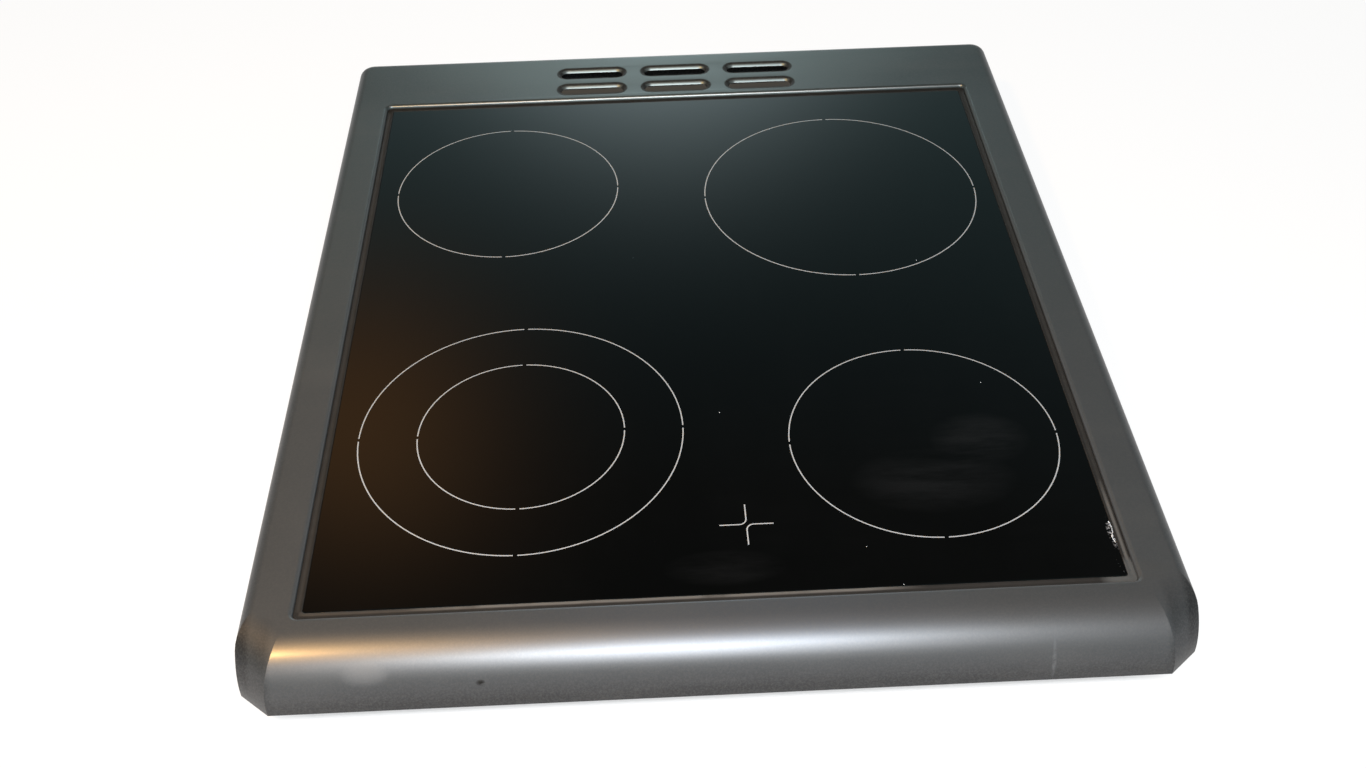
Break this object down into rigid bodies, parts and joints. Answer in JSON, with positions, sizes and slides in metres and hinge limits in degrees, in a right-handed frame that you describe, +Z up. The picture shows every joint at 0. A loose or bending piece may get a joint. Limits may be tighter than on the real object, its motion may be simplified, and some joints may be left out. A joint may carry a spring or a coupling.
{
  "type": "hot plate burner",
  "caption": "Built-in ceramic hotplate top: pressed steel surround with vent slots, bonded black glass-ceramic plate and spring-pressed radiant heaters.",
  "frame": {"origin": "middle of the whole part's bounding box in plan, at its underside", "axes": "+X to the right seen from the front, +Y from the nose towards the rear edge, +Z up out of the glass"},
  "size_m": [0.5, 0.606, 0.054],
  "materials": {
    "surround_steel": "silver-grey metallic lacquer",
    "glass_ceramic": "polished black",
    "silicone": "cured silicone",
    "zinc_steel": "zinc plated sheet",
    "spring_steel": "rolled spring steel",
    "screw_steel": "zinc plated",
    "white_plastic": "moulded",
    "lamp_glass": "small glow lamps",
    "diffuser_plastic": "translucent",
    "pan_steel": "aluminised sheet",
    "insulation_board": "pressed microporous board",
    "insulation_fibre": "moulded ceramic fibre",
    "heating_alloy": "oxidised resistance ribbon",
    "rod_quartz": "quartz tube",
    "switch_ceramic": "steatite",
    "terminal_ceramic": "steatite"
  },
  "bodies": {
    "hob_body": {"hob_surround": "surround_steel", "ceramic_glass": "glass_ceramic", "glass_sealant": "silicone", "glass_adhesive": "silicone", "front_support_bridge": "zinc_steel", "rear_support_bridge": "zinc_steel", "bridge_screws": "screw_steel", "lamp_holder": "white_plastic", "residual_heat_lamps": "lamp_glass", "lamp_diffuser": "diffuser_plastic", "lamp_bracket": "zinc_steel", "rear_left_spring": "spring_steel", "rear_right_spring": "spring_steel", "front_left_spring": "spring_steel", "front_right_spring": "spring_steel"},
    "rear_left_heater": {"rear_left_pan": "pan_steel", "rear_left_insulation_base": "insulation_board", "rear_left_insulation_ring": "insulation_fibre", "rear_left_ribbon": "heating_alloy", "rear_left_limiter_rod": "rod_quartz", "rear_left_limiter_switch": "switch_ceramic", "rear_left_terminal_block": "terminal_ceramic"},
    "rear_right_heater": {"rear_right_pan": "pan_steel", "rear_right_insulation_base": "insulation_board", "rear_right_insulation_ring": "insulation_fibre", "rear_right_ribbon": "heating_alloy", "rear_right_limiter_rod": "rod_quartz", "rear_right_limiter_switch": "switch_ceramic", "rear_right_terminal_block": "terminal_ceramic"},
    "front_left_heater": {"front_left_pan": "pan_steel", "front_left_insulation_base": "insulation_board", "front_left_insulation_ring": "insulation_fibre", "front_left_partition_ring": "insulation_fibre", "front_left_outer_ribbon": "heating_alloy", "front_left_inner_ribbon": "heating_alloy", "front_left_limiter_rod": "rod_quartz", "front_left_limiter_switch": "switch_ceramic", "front_left_terminal_block": "terminal_ceramic"},
    "front_right_heater": {"front_right_pan": "pan_steel", "front_right_insulation_base": "insulation_board", "front_right_insulation_ring": "insulation_fibre", "front_right_ribbon": "heating_alloy", "front_right_limiter_rod": "rod_quartz", "front_right_limiter_switch": "switch_ceramic", "front_right_terminal_block": "terminal_ceramic"}
  },
  "joints": [
    {"name": "rear_left_heater_press", "type": "slide", "parent": "hob_body", "child": "rear_left_heater", "axis": [0, 0, 1], "range_m": [-0.004, 0], "stiffness_N_per_m": 4000, "springref_m": 0.004, "deforming": ["rear_left_spring"]},
    {"name": "rear_right_heater_press", "type": "slide", "parent": "hob_body", "child": "rear_right_heater", "axis": [0, 0, 1], "range_m": [-0.004, 0], "stiffness_N_per_m": 4000, "springref_m": 0.004, "deforming": ["rear_right_spring"]},
    {"name": "front_left_heater_press", "type": "slide", "parent": "hob_body", "child": "front_left_heater", "axis": [0, 0, 1], "range_m": [-0.004, 0], "stiffness_N_per_m": 4000, "springref_m": 0.004, "deforming": ["front_left_spring"]},
    {"name": "front_right_heater_press", "type": "slide", "parent": "hob_body", "child": "front_right_heater", "axis": [0, 0, 1], "range_m": [-0.004, 0], "stiffness_N_per_m": 4000, "springref_m": 0.004, "deforming": ["front_right_spring"]}
  ]
}
